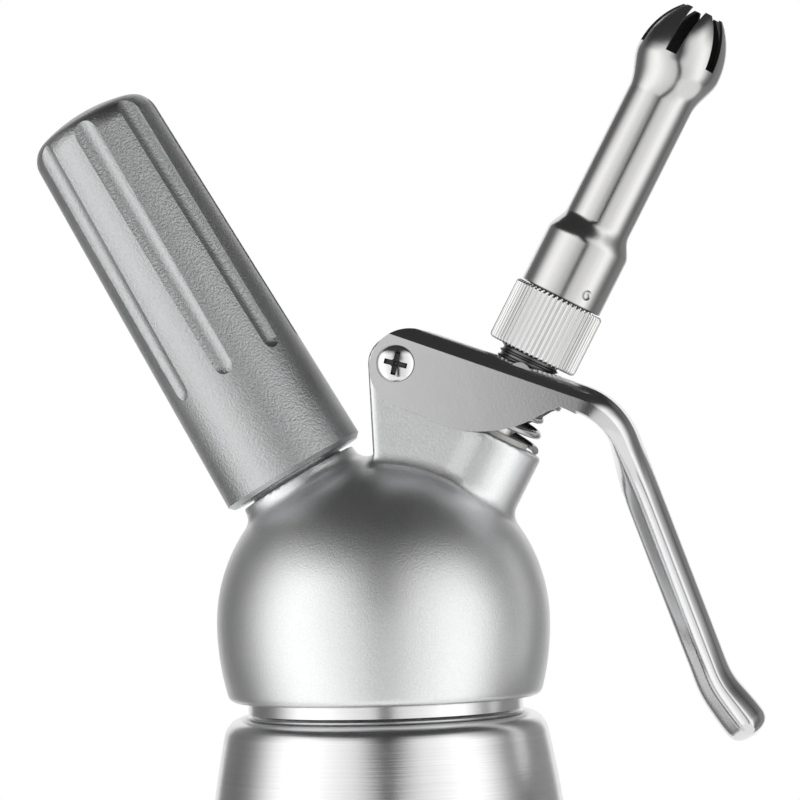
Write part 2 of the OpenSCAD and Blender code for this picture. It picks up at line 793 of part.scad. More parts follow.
// ---- Charger and holder ----

module piercing_pin() {
    color("silver")
    difference() {
        union() {
            on_charger(pin_floor_s + face_gap) cylinder(r = 4.8, h = pin_top_s - pin_floor_s - face_gap);
            on_charger(pin_top_s - 0.5) cylinder(r = 1.1, h = 4.5);
            on_charger(pin_top_s + 4) cylinder(r1 = 1.1, r2 = 0.3, h = 1.6);
        }
        on_charger(pin_floor_s - 1) cylinder(r = 1.2, h = 3, $fn = 32);
        for (side = [-1, 1])
            on_charger(pin_floor_s - 1) translate([side * 3.2, 0, 0]) cylinder(r = 0.5, h = 9, $fn = 32);
    }
}

module pin_gasket() {
    color("firebrick")
    on_charger(pin_top_s + face_gap) ring(2.2, well_r - 0.1, pin_gasket_t);
}

module non_return_sleeve() {
    color("black")
    on_charger(pin_floor_s + face_gap) ring(0.5, 1.2 - seat_gap, 1.9);
}

module gas_charger() {
    neck_l = 6.5;
    shoulder_l = 7.5;
    wall = 1.3;
    tail = charger_tail_s - charger_r;
    body_s = charger_low_s + neck_l + shoulder_l;
    color("lightsteelblue")
    on_charger()
    difference() {
        turned(concat(
            [[0, charger_low_s], [charger_neck_r, charger_low_s], [charger_neck_r, charger_low_s + neck_l]],
            [for (i = [1:6]) [
                charger_neck_r + (charger_r - charger_neck_r) * ease(i / 6),
                charger_low_s + neck_l + shoulder_l * i / 6]],
            arc(0, tail, charger_r, 0, 90, 8)
        ));
        turned(concat(
            [[0, charger_low_s - 1], [charger_neck_r - wall, charger_low_s - 1],
             [charger_neck_r - wall, charger_low_s + neck_l + 1], [charger_r - wall, body_s + 1.4]],
            arc(0, tail, charger_r - wall, 0, 90, 8)
        ));
    }
}

module charger_seal() {
    color("gold")
    on_charger(charger_low_s + 0.2) ring(1.3, charger_neck_r - 1.3 - seat_gap, 0.9);
}

module charger_holder() {
    bore_r = charger_r + 0.6;
    tail = charger_tail_s - charger_r;
    length = holder_shoulder_s - holder_rim_s;
    edge_x = holder_end_r - holder_edge_r;
    crown_h = holder_edge_r + holder_crown;
    crown_r = (edge_x * edge_x + crown_h * crown_h - holder_edge_r * holder_edge_r) / (2 * holder_crown);
    edge_end = atan2(crown_r - crown_h, edge_x);
    color("darkgray")
    difference() {
        on_charger() turned(concat(
            [[0, holder_rim_s], [holder_rim_r - 1, holder_rim_s], [holder_rim_r, holder_rim_s + 1]],
            arc(edge_x, holder_shoulder_s, holder_edge_r, 0, edge_end, 6),
            arc(0, holder_top_s - crown_r, crown_r, edge_end + 6, 90, 3)
        ));
        on_charger() turned(concat(
            [[0, holder_rim_s - 1], [stub_r + run_gap, holder_rim_s - 1],
             [stub_r + run_gap, stub_top_s + 1], [bore_r, stub_top_s + 2.4]],
            arc(0, tail, bore_r, 0, 90, 8)
        ));
        for (i = [0:flutes - 1]) on_charger(holder_rim_s + flute_start) rotate([0, 0, 360 * i / flutes - 90])
            flute_cutter(length - flute_start);
    }
}

// A round-ended cutter that leans inwards with the holder's taper
module flute_cutter(length) {
    start_r = holder_rim_r - holder_draft * flute_start + flute_r - flute_depth;
    lean = atan(holder_draft) + atan2(flute_fall, length);
    translate([start_r, 0, 2]) rotate([0, -lean, 0])
        turned(concat(arc(0, 0, flute_r, -90, 0, 6), [[flute_r, length + 12], [0, length + 12]]));
}

bottle();
head_gasket();
head();
pivot_screw();
pivot_barrel();
pivot_washers();
piercing_pin();
pin_gasket();
non_return_sleeve();
valve_guide();
guide_oring();
valve_spring();
valve_stem();
valve_seal();
seal_nut();
valve_head();
nozzle_adapter();
adapter_washer();
nozzle_oring();
nozzle();
nozzle_ferrule();
lever();
gas_charger();
charger_seal();
charger_holder();
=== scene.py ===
from math import atan2, cos, degrees, pi, radians, sin, sqrt

import bmesh
import bpy
import numpy as np
from mathutils import Matrix, Vector


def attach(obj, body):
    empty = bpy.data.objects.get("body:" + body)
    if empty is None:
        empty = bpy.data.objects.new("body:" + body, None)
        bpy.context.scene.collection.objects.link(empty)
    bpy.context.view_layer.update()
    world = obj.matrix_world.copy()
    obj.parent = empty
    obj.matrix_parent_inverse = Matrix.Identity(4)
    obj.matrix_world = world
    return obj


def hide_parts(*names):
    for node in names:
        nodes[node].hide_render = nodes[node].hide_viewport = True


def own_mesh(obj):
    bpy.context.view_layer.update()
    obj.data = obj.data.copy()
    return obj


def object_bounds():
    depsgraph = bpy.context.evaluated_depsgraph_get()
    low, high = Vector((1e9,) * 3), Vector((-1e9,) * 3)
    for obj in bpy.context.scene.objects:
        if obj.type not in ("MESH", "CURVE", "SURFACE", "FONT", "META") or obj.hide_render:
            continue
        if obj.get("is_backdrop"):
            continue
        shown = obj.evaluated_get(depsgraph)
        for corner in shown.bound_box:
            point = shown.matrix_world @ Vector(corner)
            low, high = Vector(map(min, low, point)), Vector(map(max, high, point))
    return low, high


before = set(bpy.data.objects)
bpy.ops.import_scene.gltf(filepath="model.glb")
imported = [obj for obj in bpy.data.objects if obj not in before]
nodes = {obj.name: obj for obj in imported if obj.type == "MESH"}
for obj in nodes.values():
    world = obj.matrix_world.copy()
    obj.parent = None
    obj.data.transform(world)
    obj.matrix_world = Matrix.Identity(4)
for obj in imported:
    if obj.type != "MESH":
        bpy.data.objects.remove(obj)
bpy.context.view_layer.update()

scene = bpy.context.scene
scene.view_settings.view_transform = "Standard"

# ---- The photograph's view ----------------------------------------------------------------
# The camera stands level with the lever, a little to the right of the dispenser's middle
# plane. It leaned, so the whole picture is turned by about a degree and a half.
look_at = Vector((0.0047, 0.0, 0.20525))
camera_yaw = radians(4.7)
camera_distance = 0.9
camera_height = 0.2
camera_lean = radians(1.6)

camera = bpy.data.objects.new("camera", bpy.data.cameras.new("camera"))
scene.collection.objects.link(camera)
camera.location = (look_at.x + camera_distance * sin(camera_yaw),
                   -camera_distance * cos(camera_yaw), camera_height)
towards = (look_at - camera.location).to_track_quat("-Z", "Y")
camera.rotation_mode = "QUATERNION"
camera.rotation_quaternion = towards @ Matrix.Rotation(-camera_lean, 3, "Z").to_quaternion()
camera.data.sensor_width = 36
camera.data.lens = 196
camera.data.clip_start = 0.05
camera.data.clip_end = 20
scene.camera = camera


# ---- Bottle -------------------------------------------------------------------------------
# A half-litre bottle drawn and spun from aluminium: a straight wall, a long taper, a rounded
# shoulder and a bare neck. It is brushed round its axis, so its grain runs in fine rings.
class Signal:
    """A socket of a finish. Sums on it add their Math nodes."""

    def __init__(self, finish, socket):
        self.finish = finish
        self.socket = socket

    def maths(self, operation, first, second):
        return self.finish.node("Math", {"operation": operation}, {0: first, 1: second})

    def __add__(self, other):
        return self.maths("ADD", self, other)

    def __radd__(self, other):
        return self.maths("ADD", other, self)

    def __sub__(self, other):
        return self.maths("SUBTRACT", self, other)

    def __rsub__(self, other):
        return self.maths("SUBTRACT", other, self)

    def __mul__(self, other):
        return self.maths("MULTIPLY", self, other)

    def __rmul__(self, other):
        return self.maths("MULTIPLY", other, self)


class Finish:
    """A material and its nodes."""

    def __init__(self, name, owner=None):
        self.owner = owner or bpy.data.materials.new(name)
        self.owner.use_nodes = True
        self.tree = self.owner.node_tree
        self.tree.nodes.clear()

    def node(self, kind, settings=None, sockets=None, out=0):
        """Adds a node: its settings first, then the values or links of its sockets."""
        made = self.tree.nodes.new("ShaderNode" + kind)
        for key, value in (settings or {}).items():
            if key == "stops":
                stops = made.color_ramp.elements
                while len(stops) < len(value):
                    stops.new(0.5)
                for stop, (place, shade) in zip(stops, value):
                    stop.position = place
                    stop.color = (shade, shade, shade, 1)
            else:
                setattr(made, key, value)
        for key, value in (sockets or {}).items():
            socket = made.inputs[key]
            if isinstance(value, Signal):
                self.tree.links.new(value.socket, socket)
            elif socket.type == "RGBA":
                socket.default_value = (*value, 1)
            else:
                socket.default_value = value
        return Signal(self, made.outputs[out]) if made.outputs else None

    def place(self, origin=(0, 0, 0), tilt=0, stretch=(1, 1, 1)):
        """Object coordinates measured from a point, on an axis leaned to the right, and stretched."""
        seen = self.node("TexCoord", {}, {}, "Object")
        turned_back = self.node("Mapping", {"vector_type": "TEXTURE"}, {
            "Vector": seen, "Location": origin, "Rotation": (0, radians(tilt), 0)})
        return self.node("VectorMath", {"operation": "MULTIPLY"}, {0: turned_back, 1: stretch})

    def noise(self, place, scale, detail=2.0, rough=0.5):
        return self.node("TexNoise", {}, {
            "Vector": place, "Scale": scale, "Detail": detail, "Roughness": rough})

    def spread(self, signal, low, high, to_low=0.0, to_high=1.0):
        return self.node("MapRange", {}, {
            "Value": signal, "From Min": low, "From Max": high, "To Min": to_low, "To Max": to_high})

    def tinted(self, shade, tone):
        """A colour multiplied by a tone that varies over the surface."""
        grey = self.node("CombineColor", {}, {0: tone, 1: tone, 2: tone})
        return self.node("Mix", {"data_type": "RGBA", "blend_type": "MULTIPLY"},
                         {0: 1.0, 6: shade, 7: grey}, 2)

    def surface(self, colour, roughness, height, depth, **plain):
        bump = self.node("Bump", {}, {"Height": height, "Distance": depth, "Strength": 1.0})
        sockets = {"Base Color": colour, "Roughness": roughness, "Normal": bump}
        sockets.update({key.replace("_", " "): value for key, value in plain.items()})
        body = self.node("BsdfPrincipled", {}, sockets)
        self.node("OutputMaterial", {}, {"Surface": body})
        return self.owner


def worked_metal(name, shade, rough, grain, depth, origin=(0, 0, 0), tilt=0,
                 lines="round", line_pitch=0.00035, line_part=0.0, mottle=0.05, speck=0.0):
    """Metal with a blasted grain, tool lines round its axis or along it, and soft stains."""
    finish = Finish(name)
    fine = finish.noise(finish.place(), 1 / grain, 3.0, 0.6)
    broad = finish.noise(finish.place(), 45.0, 4.0, 0.6)
    across, along = (0.004, 1.0) if lines == "round" else (1.0, 0.006)
    drawn_out = finish.place(origin, tilt, (across, across, along))
    streak = finish.noise(drawn_out, 1 / line_pitch, 2.0, 0.7)
    height = fine * (1 - line_part) + streak * line_part
    tone = 1 - mottle + (broad - 0.5) * (2 * mottle) + (height - 0.5) * (2 * speck)
    stain = finish.spread(broad, 0.3, 0.7, -0.035, 0.035)
    return finish.surface(finish.tinted(shade, tone), stain + rough, height, depth, Metallic=1.0)


def arc(across, along, radius, start, end, steps):
    """Points along an arc, in degrees."""
    return [(across + radius * cos(radians(start + (end - start) * i / steps)),
             along + radius * sin(radians(start + (end - start) * i / steps)))
            for i in range(steps + 1)]


def eased(low, high, start, length, steps):
    """Points where a radius swells or draws in smoothly along an axis."""
    shares = [i / steps for i in range(steps + 1)]
    return [(low + (high - low) * t * t * (3 - 2 * t), start + length * t) for t in shares]


def turned(profile, steps=128, closed=False):
    """A lathe piece from its profile of radius and height."""
    form = bmesh.new()
    points = [form.verts.new((radius, 0, height)) for radius, height in profile]
    pairs = list(zip(points, points[1:])) + ([(points[-1], points[0])] if closed else [])
    edges = [form.edges.new(pair) for pair in pairs]
    bmesh.ops.spin(form, geom=points + edges, cent=(0, 0, 0), axis=(0, 0, 1), dvec=(0, 0, 0),
                   angle=2 * pi, steps=steps, use_merge=True, use_duplicate=False)
    bmesh.ops.remove_doubles(form, verts=form.verts, dist=0.0005)
    bmesh.ops.recalc_face_normals(form, faces=form.faces)
    return form


def thread(section, pitch, turns, steps):
    """A screw ridge swept from its small section of radius and height."""
    form = bmesh.new()
    points = [form.verts.new((radius, 0, height)) for radius, height in section]
    edges = [form.edges.new(pair) for pair in zip(points, points[1:] + points[:1])]
    bmesh.ops.spin(form, geom=points + edges, cent=(0, 0, 0), axis=(0, 0, 1),
                   dvec=(0, 0, pitch / steps), angle=2 * pi * turns, steps=round(steps * turns))
    bmesh.ops.holes_fill(form, edges=[e for e in form.edges if e.is_boundary], sides=0)
    bmesh.ops.recalc_face_normals(form, faces=form.faces)
    return form


def with_extra(form, extra):
    """Both closed forms as one piece."""
    mesh = bpy.data.meshes.new("extra")
    extra.to_mesh(mesh)
    extra.free()
    form.from_mesh(mesh)
    bpy.data.meshes.remove(mesh)
    return form


def holding(form, name):
    mesh = bpy.data.meshes.new(name)
    form.to_mesh(mesh)
    form.free()
    piece = bpy.data.objects.new(name, mesh)
    scene.collection.objects.link(piece)
    return piece


def settled(piece):
    """A new form with the piece's modifiers worked in. The piece itself is thrown away."""
    ready = piece.evaluated_get(bpy.context.evaluated_depsgraph_get())
    form = bmesh.new()
    form.from_mesh(ready.data)
    worn_out = piece.data
    bpy.data.objects.remove(piece)
    bpy.data.meshes.remove(worn_out)
    return form


def carved(form, tool, operation="DIFFERENCE"):
    """The form cut by, joined with or kept inside a tool."""
    blank, cutter = holding(form, "blank"), holding(tool, "cutter")
    step = blank.modifiers.new("step", "BOOLEAN")
    step.operation, step.object, step.solver = operation, cutter, "EXACT"
    form = settled(blank)
    spare = cutter.data
    bpy.data.objects.remove(cutter)
    bpy.data.meshes.remove(spare)
    bmesh.ops.remove_doubles(form, verts=form.verts, dist=0.0005)
    return form


def piece(form, name, frame_of, finish, slot, body, replaced=(), sharp=32):
    """Puts a form drawn in millimetres in its place, hangs it on its body and hides the parts it replaces.
    """
    form.transform(Matrix.Scale(0.001, 4) @ frame_of)
    for face in form.faces:
        face.smooth = True
    for edge in form.edges:
        if len(edge.link_faces) == 2 and edge.calc_face_angle(0) > radians(sharp):
            edge.smooth = False
    made = holding(form, name)
    made.data.materials.append(finish)
    level = made.modifiers.new("level_normals", "WEIGHTED_NORMAL")
    level.keep_sharp = True
    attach(made, body)
    if replaced:
        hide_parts(*replaced)
    return made


upright = Matrix.Identity(4)
bottle_r, bottle_h, wall = 38.5, 163.0, 1.6
shoulder_z, taper_z, taper_r = 140.8, 88.0, 238.0
shoulder_r, shoulder_x = 5.0, 28.54
neck_core_r, neck_thread_r, mouth_r = 28.35, 29.2, 24.6
neck_thread_z, neck_pitch, neck_turns = shoulder_z + 6.6, 4.0, 2.9
base_edge_r, base_hollow = 4, 0.9
brushed_aluminium = worked_metal(
    "brushed_aluminium", (0.87, 0.87, 0.875), 0.24, 0.0003, 0.00003,
    lines="round", line_pitch=0.0004, line_part=0.85, mottle=0.02, speck=0.1)


def bottle_wall(skin):
    """The wall's line from the base to the shoulder, drawn in by a skin."""
    return (arc(bottle_r - base_edge_r, base_edge_r, base_edge_r - skin, -90, 0, 10)
            + arc(bottle_r - taper_r, taper_z, taper_r - skin, 0, 11.8, 26)
            + arc(shoulder_x, shoulder_z - shoulder_r, shoulder_r - skin, 14, 90, 14))


outer_line = [(0, base_hollow), (25.5, base_hollow), (27.5, 0.55), (29.0, 0.0)] + bottle_wall(0) + [
    (neck_core_r + 0.5, shoulder_z), (neck_core_r, shoulder_z + 0.5), (neck_core_r, bottle_h - 0.9),
    (neck_core_r - 0.8, bottle_h), (mouth_r + 0.5, bottle_h), (mouth_r, bottle_h - 0.5)]
inner_line = [(mouth_r, shoulder_z + 2.1), (neck_core_r, shoulder_z - wall)]
inner_line += bottle_wall(wall)[::-1] + [(0, wall + base_hollow)]
bottle_form = turned(outer_line + inner_line, 192)
ridge = [(neck_core_r - 0.3, 0), (neck_core_r - 0.3, 2.6), (neck_thread_r - 0.1, 1.75),
         (neck_thread_r, 1.3), (neck_thread_r - 0.1, 0.85)]
neck_thread = thread(ridge, neck_pitch, neck_turns, 96)
bmesh.ops.translate(neck_thread, vec=(0, 0, neck_thread_z), verts=neck_thread.verts)
piece(with_extra(bottle_form, neck_thread), "bottle_spun", upright, brushed_aluminium,
      "bottle_aluminium", "bottle", ["bottle"])

# ---- Head gasket --------------------------------------------------------------------------
# A flat ring of grey silicone between the bottle's mouth and the head. It lies loose in its
# seat, and it is wiped matt by use.


def rubbery(name, shade, rough, grain=0.0004, depth=0.00003, **plain):
    """Rubber, silicone or moulded plastic: a faint skin, dusty in places."""
    finish = Finish(name)
    skin = finish.noise(finish.place(), 1 / grain, 3.0, 0.6)
    dust = finish.noise(finish.place(), 120.0, 4.0, 0.6)
    tone = 0.88 + dust * 0.2
    return finish.surface(finish.tinted(shade, tone), rough - 0.06 + dust * 0.12, skin, depth, **plain)


def refinish(node, finish):
    nodes[node].data.materials.clear()
    nodes[node].data.materials.append(finish)


refinish("head_gasket", rubbery("grey_silicone", (0.42, 0.42, 0.41), 0.5))

# ---- Head ---------------------------------------------------------------------------------
# The head is one aluminium casting, bead blasted to a white satin: a dome over a short
# skirt, a boss and threaded stub for the charger, and a neck and lug for valve and lever.
dome_z, dome_r, skirt_r, skirt_h = 159.5, 34.4, 54.6, 15.7
valve_x, valve_tilt, charger_tilt = 3.0, 28.3, 29.2
neck_r, neck_top, lug_half, lug_r = 11.3, 43.5, 11.0, 6.0
boss_r, boss_top, stub_r, stub_top = 13.0, 34.6, 11.0, 51.0
rim_round, neck_round, boss_round, lug_round = 1.6, 1.2, 0.5, 1.3
lug_fillet, neck_fillet, boss_fillet = 1.0, 2.2, 2.0
left_lean, right_lean, right_x, right_z = 0.03, 0.214, 11.2, 210.0
relief_r, relief_l, stub_core_r, stub_root = stub_r - 0.8, 7, stub_r - 0.75, 20
hollow_r, hollow_side_r, thread_bore_r, thread_bore_top = 28.0, 24.6, 29.26, 5.6
pivot_bore_r = 3.06
# Bores along the valve's axis and the charger's: radius, start and end
valve_bores = ((6.2, 10, 60), (9.6, 14, 26), (7.03, 37, 60))
charger_bores = ((1.5, 20, 40), (4.83, 36, 42), (5.2, 41, 60))
# Metal left standing round the valve's seat and the pin's: radius, middle and half height
valve_seat, pin_seat = (9.5, 29, 3), (7.5, 27, 4)
pivot = Vector((5.1463, 0, 212.6331))
valve_lean = Matrix.Rotation(radians(valve_tilt), 4, "Y")
valve_frame = Matrix.Translation((valve_x, 0, dome_z)) @ valve_lean
charger_lean = Matrix.Rotation(-radians(charger_tilt), 4, "Y")
charger_frame = Matrix.Translation((0, 0, dome_z)) @ charger_lean


def soft_or(first, second, blend):
    """Two solids' distances joined with a cast fillet."""
    share = np.clip(0.5 + 0.5 * (second - first) / blend, 0, 1)
    return second + (first - second) * share - blend * share * (1 - share)


def soft_and(first, second, blend):
    return -soft_or(-first, -second, blend)


def local(points, frame_of):
    """Points measured in a leaned frame: distance from its axis, and along it."""
    back = np.array(frame_of.inverted())
    moved = points @ back[:3, :3].T + back[:3, 3]
    return moved, np.hypot(moved[:, 0], moved[:, 1])


def disc(across, along, radius, middle, half):
    """Distance of points from a disc round an axis."""
    return np.maximum(across - radius, np.abs(along - middle) - half)


def head_distance(points):
    """Distance of each point from the casting's surface, in millimetres."""
    x, y, z = points[:, 0], points[:, 1], points[:, 2] - dome_z
    across = np.hypot(x, y)
    dome = np.sqrt(across ** 2 + z ** 2) - dome_r
    skirt = np.sqrt((across + skirt_r - dome_r) ** 2 + z ** 2) - skirt_r
    body = soft_and(np.where(z > 0, dome, skirt), -z - skirt_h, rim_round)
    by_charger, charger_across = local(points, charger_frame)
    by_valve, valve_across = local(points, valve_frame)
    charger_s, valve_s = by_charger[:, 2], by_valve[:, 2]
    boss = soft_and(charger_across - boss_r, charger_s - boss_top, boss_round)
    neck = soft_and(valve_across - neck_r, valve_s - neck_top, neck_round)
    from_pivot_x, from_pivot_z = x - pivot.x, points[:, 2] - pivot.z
    left = -(x - (pivot.x - lug_r)) * cos(left_lean) - from_pivot_z * sin(left_lean)
    right = (x - right_x) * cos(right_lean) + (points[:, 2] - right_z) * sin(right_lean)
    eye = np.hypot(from_pivot_x, from_pivot_z) - lug_r
    tall = np.maximum(np.maximum(left, right), from_pivot_z)
    low = soft_and(np.maximum(left, by_valve[:, 0]), valve_s - neck_top, neck_round)
    plate = np.minimum(np.minimum(tall, low), eye)
    lug = soft_and(plate, np.abs(y) - lug_half, lug_round)
    upper = soft_or(neck, lug, lug_fillet)
    solid = soft_or(soft_or(body, upper, neck_fillet), boss, boss_fillet)
    relief = np.maximum(charger_across - relief_r, charger_s - (boss_top + relief_l))
    stub = np.maximum(charger_across - stub_core_r, charger_s - stub_top)
    solid = np.minimum(solid, np.maximum(np.minimum(relief, stub), stub_root - charger_s))
    hollow = np.maximum(np.sqrt(across ** 2 + z ** 2) - hollow_r, across - hollow_side_r)
    bores = np.minimum(hollow, np.maximum(across - thread_bore_r, z - thread_bore_top))
    seats = np.minimum(disc(valve_across, valve_s, *valve_seat), disc(charger_across, charger_s, *pin_seat))
    bores = np.maximum(bores, -seats)
    for off_axis, along, sizes in ((valve_across, valve_s, valve_bores),
                                   (charger_across, charger_s, charger_bores)):
        for radius, start, end in sizes:
            bore = np.maximum(off_axis - radius, np.maximum(start - along, along - end))
            bores = np.minimum(bores, bore)
    bores = np.minimum(bores, np.hypot(from_pivot_x, from_pivot_z) - pivot_bore_r)
    return np.maximum(solid, -bores)


def fitted(form, distance, rounds=5, limit=0.5):
    """Moves every point of a form on to the surface that a distance describes."""
    points = np.array([v.co for v in form.verts])
    tiny = 0.02
    for _ in range(rounds):
        here = distance(points)
        slope = np.stack([distance(points + tiny * axis) - distance(points - tiny * axis)
                          for axis in np.eye(3)], 1) / (2 * tiny)
        size = np.maximum((slope ** 2).sum(1), 0.25)
        points = points - slope * np.clip(here / size, -limit, limit)[:, None]
    for vert, point in zip(form.verts, points):
        vert.co = point
    return form


cast_cell = 0.6
blank = bmesh.new()
blank.from_mesh(nodes["head"].data)
blank.transform(Matrix.Scale(1000, 4))
bmesh.ops.remove_doubles(blank, verts=blank.verts, dist=0.001)
cast = holding(blank, "blank")
step = cast.modifiers.new("cast", "REMESH")
step.mode, step.voxel_size = "VOXEL", cast_cell
head_form = fitted(settled(cast), head_distance)
stub_ridge = [(stub_r - 1.0, 0), (stub_r - 1.0, 1.7), (stub_r - 0.05, 1.0), (stub_r - 0.05, 0.7)]
stub_pitch, stub_turns, stub_thread_s = 2.0, 4.2, boss_top + 6.6
stub_thread = thread(stub_ridge, stub_pitch, stub_turns, 64)
stub_thread.transform(charger_frame @ Matrix.Translation((0, 0, stub_thread_s)))
blasted_aluminium = worked_metal(
    "blasted_aluminium", (0.87, 0.875, 0.88), 0.37, 0.0004, 0.00005, mottle=0.02, speck=0.12)
piece(with_extra(head_form, stub_thread), "head_cast", upright, blasted_aluminium,
      "head_aluminium", "head", ["head"], sharp=50)

# ---- Pivot --------------------------------------------------------------------------------
# The lever turns on a barrel nut through the lug, and a screw with a crossed recess closes
# it. Both are turned steel, nickelled bright, and sit in shallow recesses of the cheeks.
cheek_out = 13.6
head_floor = cheek_out - 0.6
pivot_frame = Matrix.Translation(pivot) @ Matrix.Rotation(radians(90), 4, "X")
bright_steel = worked_metal("bright_steel", (0.83, 0.83, 0.83), 0.15, 0.0006, 0.000004,
                            pivot / 1000, 0, "round", 0.0005, 0.3, 0.02, 0.02)
crown_r, crown_top = 7.0, head_floor + 1.65
cross_l, cross_w, cross_depth, cross_turns = 7.2, 1.25, 2.6, (-15, 75)
screw_head = [(0, -6), (2, -6), (2, head_floor + 0.05), (3.6, head_floor + 0.05),
              (3.77, head_floor + 0.2), (3.77, head_floor + 0.45)]
screw_form = turned(screw_head + arc(0, crown_top - crown_r, crown_r, 58.5, 90, 8), 96)
for turn in cross_turns:
    slot_tool = bmesh.new()
    bmesh.ops.create_cube(slot_tool, size=1.0)
    bmesh.ops.scale(slot_tool, vec=(cross_l, cross_w, cross_depth), verts=slot_tool.verts)
    floor_points = [v for v in slot_tool.verts if v.co.z < 0]
    bmesh.ops.scale(slot_tool, vec=(0.55, 0.8, 1), verts=floor_points)
    slot_tool.transform(Matrix.Translation((0, 0, crown_top + 0.2))
                        @ Matrix.Rotation(radians(turn), 4, "Z"))
    screw_form = carved(screw_form, slot_tool)
hole = bmesh.new()
bmesh.ops.create_cone(hole, cap_ends=True, segments=24, radius1=0.35, radius2=1.2, depth=2.0,
                      matrix=Matrix.Translation((0, 0, crown_top - 0.6)))
screw_form = carved(screw_form, hole)
# Faces inside the crossed recess take a second, near-black finish: painted shade in the recess.
for face in screw_form.faces:
    centre = face.calc_center_median()
    across = min(sqrt(centre.x ** 2 + centre.y ** 2), crown_r)
    crown_z = crown_top - crown_r + sqrt(crown_r ** 2 - across ** 2)
    if across < 2.9 and head_floor < centre.z < crown_z - 0.06:
        face.material_index = 1
screw = piece(screw_form, "pivot_screw_turned", pivot_frame, bright_steel, "bright_steel", "head",
              ["pivot_screw"])
screw.data.materials.append(worked_metal("painted_shade_recess", (0.1, 0.1, 0.1), 0.5, 0.0004, 0.00002))

barrel_form = turned([(2.03, -head_floor + 1), (2.03, head_floor - 0.5), (2.6, head_floor),
                      (3, head_floor - 0.2), (3, -head_floor - 0.05), (3.6, -head_floor - 0.05),
                      (3.77, -head_floor - 0.2), (3.77, -head_floor - 1.2),
                      (3.45, -head_floor - 1.45), (2.4, -head_floor - 1.5), (2.2, -head_floor - 1.3),
                      (0, -head_floor - 1.25), (0, -head_floor + 1)], 96)
piece(barrel_form, "pivot_barrel_turned", pivot_frame, bright_steel, "bright_steel", "head",
      ["pivot_barrel"])

# ---- Pivot washers ------------------------------------------------------------------------
# Two thin washers of white bearing plastic keep the cheeks off the lug.
refinish("pivot_washers", rubbery("white_plastic", (0.85, 0.84, 0.8), 0.4, 0.0005, 0.00001))

# ---- Lever --------------------------------------------------------------------------------
# The lever is cast, then ground and satin polished: a channel of two cheeks and a web with
# bevelled edges, which narrows into a crowned bar and ends in a flared, upturned tip.
web_slope, web_top, web_low = 20.6, 8.3, 6.3
root_s, root_rise, channel_end = 38.0, 4.35, 36.8
cheek_in, inner_edge_r = 11.6, 1
bar_side, merge_l, tip_round = 13.59, 27, 4.2
bend_r, handle_lean, handle_l = 14.0, 19.5, 50.1
tip_r, tip_turn, tip_l = 20.0, 17.0, 9.7
pad_s, pad_r, pad_l, pad_y, slot_r = 57.307, 2.2, 4.6, 9.5, 7.2
web_frame = Matrix.Translation(pivot) @ Matrix.Rotation(radians(web_slope), 4, "Y")
on_web = Matrix.Rotation(radians(90), 4, "Z") @ Matrix.Rotation(radians(90), 4, "X")


def prism(outline, low, high):
    """An outline in x and y drawn out along z."""
    form = bmesh.new()
    face = form.faces.new([form.verts.new((x, y, low)) for x, y in outline])
    drawn = bmesh.ops.extrude_face_region(form, geom=[face])
    bmesh.ops.translate(form, vec=(0, 0, high - low),
                        verts=[part for part in drawn["geom"] if isinstance(part, bmesh.types.BMVert)])
    bmesh.ops.recalc_face_normals(form, faces=form.faces)
    return form


def channel(half, corner, low, high):
    """A channel section drawn out along the web: y across, z square to the web."""
    section = [(-half, -40), (half, -40)] + corner + [(-y, z) for y, z in corner[::-1]]
    form = prism(section, low, high)
    form.transform(on_web)
    return form


side_view = Matrix.Translation(pivot) @ Matrix.Rotation(radians(90), 4, "X")
slope = radians(web_slope)
ahead, square = Vector((cos(slope), -sin(slope))), Vector((sin(slope), cos(slope)))
cheek_line = arc(2.75, -1.05, 8.2, 248, 76, 40)
cheek_line += [tuple(square * 8.3 + ahead * 4), tuple(square * 8.3 + ahead * 35.5),
               tuple(square * 2.2 + ahead * 38), tuple(square * 2.6 + ahead * 34.5)]
cheek_line += arc(17.5, 9.5, 23.85, -58, -122, 30)
cheeks = prism(cheek_line, -cheek_out, cheek_out)
cheeks.transform(web_frame.inverted() @ side_view)
bevel_line = arc(8.815, 3.069, 5.28, 25, 70, 7)
block = channel(cheek_out, bevel_line + [(10.0, web_top)], -20, 60)
lever_form = carved(cheeks, block, "INTERSECT")

# Half outlines of the bar, across and outwards, at the web and at its middle
at_web = [(0, 3.95), (4, 3.95), (7.5, 3.95), (10, 3.93), (10.62, 3.68), (11.84, 3.04), (12.86, 2.11),
          (bar_side, 0.95), (bar_side, 0.2), (bar_side, -0.5), (bar_side, -1.2), (13.4, -1.75),
          (11, -1.95), (5, -1.95), (0, -1.95)]
at_middle = [(0, 3.85), (1.5, 3.75), (2.8, 3.42), (4.0, 2.85), (4.72, 2.25), (5.27, 1.7), (5.6, 1.3),
             (5.75, 0.9), (5.6, 0.25), (5.25, -0.5), (4.75, -1.15), (3.95, -1.7), (2.8, -2.47),
             (1.3, -3.42), (0, -3.85)]


def finer(points):
    """A line with a new point in the middle of each step, on its curve."""
    ends = [points[0]] + points + [points[-1]]
    line = []
    for i in range(1, len(points)):
        a, b, c, d = (Vector(point) for point in ends[i - 1:i + 3])
        line += [tuple(b), tuple((9 * (b + c) - a - d) / 16)]
    return line + [points[-1]]


at_web = [(min(y, bar_side), n) for y, n in finer(at_web)]
at_middle = finer(at_middle)
bend_turn = radians(90 - handle_lean - web_slope)
bend_l, tip_bend_l = bend_r * bend_turn, tip_r * radians(tip_turn)
bar_l = bend_l + handle_l + tip_bend_l + tip_l


